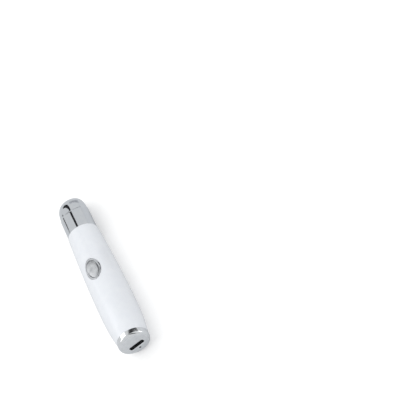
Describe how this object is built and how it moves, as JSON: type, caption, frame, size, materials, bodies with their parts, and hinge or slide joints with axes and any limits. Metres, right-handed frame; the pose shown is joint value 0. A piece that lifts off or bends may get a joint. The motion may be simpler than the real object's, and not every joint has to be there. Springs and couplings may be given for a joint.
{
  "type": "heated eye massager wand",
  "caption": "Plump white wand with a slanted domed metal head that warms and vibrates, an oval push button in a bright ring and a metal end cap with a charging slot.",
  "frame": {"origin": "on the resting plane, below the middle of the wand's length", "axes": "+Y along the wand from the charging face to the massage head, +Z towards the button, +X to its side"},
  "size_m": [0.025, 0.1266, 0.0251],
  "materials": {
    "shell": "smooth, pearly white",
    "head_metal": "polished",
    "cap_metal": "polished, with a satin face",
    "button_metal": "satin metal plating",
    "port_black": "fine matte",
    "socket_steel": "satin",
    "contacts": "matte",
    "clear_pipe": "clear, polished",
    "led": "smooth",
    "board": "lacquered",
    "chips": "matte",
    "carrier": "moulded",
    "screws": "machined",
    "cell": "blue wrap",
    "nickel": "rolled",
    "wire_red": "matte",
    "wire_dark": "matte",
    "wire_sand": "matte",
    "switch_case": "moulded",
    "can_steel": "drawn",
    "magnet": "ground",
    "bush": "sintered",
    "sleeve": "matte",
    "winding": "lacquered",
    "weight": "sintered",
    "collar": "moulded",
    "pad": "matte",
    "film": "smooth film"
  },
  "bodies": {
    "wand": {"barrel": "shell", "end_cap": "cap_metal", "port_insert": "port_black", "usb_socket": "socket_steel", "usb_tongue": "contacts", "light_pipe": "clear_pipe", "charge_led": "led", "charge_board": "board", "charge_board_parts": "chips", "inner_carrier": "carrier", "carrier_screws": "screws", "battery_cell": "cell", "battery_tabs": "nickel", "battery_leads": "wire_red", "charge_leads": "wire_dark", "main_board": "board", "main_board_parts": "chips", "switch_body": "switch_case", "button_bezel": "cap_metal", "motor_can": "can_steel", "motor_end_bell": "contacts", "motor_magnet": "magnet", "motor_bearing": "bush", "motor_sleeve": "sleeve", "motor_clamp": "carrier", "motor_leads": "wire_red", "head_collar": "collar", "massage_head": "head_metal", "heater_holder": "collar", "heater_pad": "pad", "heater_film": "film", "thermistor": "chips", "heater_leads": "wire_sand"},
    "button": {"button_cap": "button_metal"},
    "plunger": {"switch_plunger": "contacts"},
    "rotor": {"motor_shaft": "socket_steel", "motor_armature": "winding", "eccentric_weight": "weight"}
  },
  "joints": [
    {"name": "button_press", "type": "slide", "parent": "wand", "child": "button", "axis": [0, 0, -1], "range_m": [0, 0.0004], "stiffness_N_per_m": 400, "springref_m": -0.0005},
    {"name": "plunger_press", "type": "slide", "parent": "wand", "child": "plunger", "axis": [0, 0, -1], "range_m": [0, 0.0004]},
    {"name": "motor_spin", "type": "hinge", "parent": "wand", "child": "rotor", "pos_m": [0, 0.01317, 0.0097], "axis": [0, 1, 0], "continuous": true}
  ],
  "couplings": [
    {"joint": "plunger_press", "follows": "button_press", "ratio": 1}
  ]
}
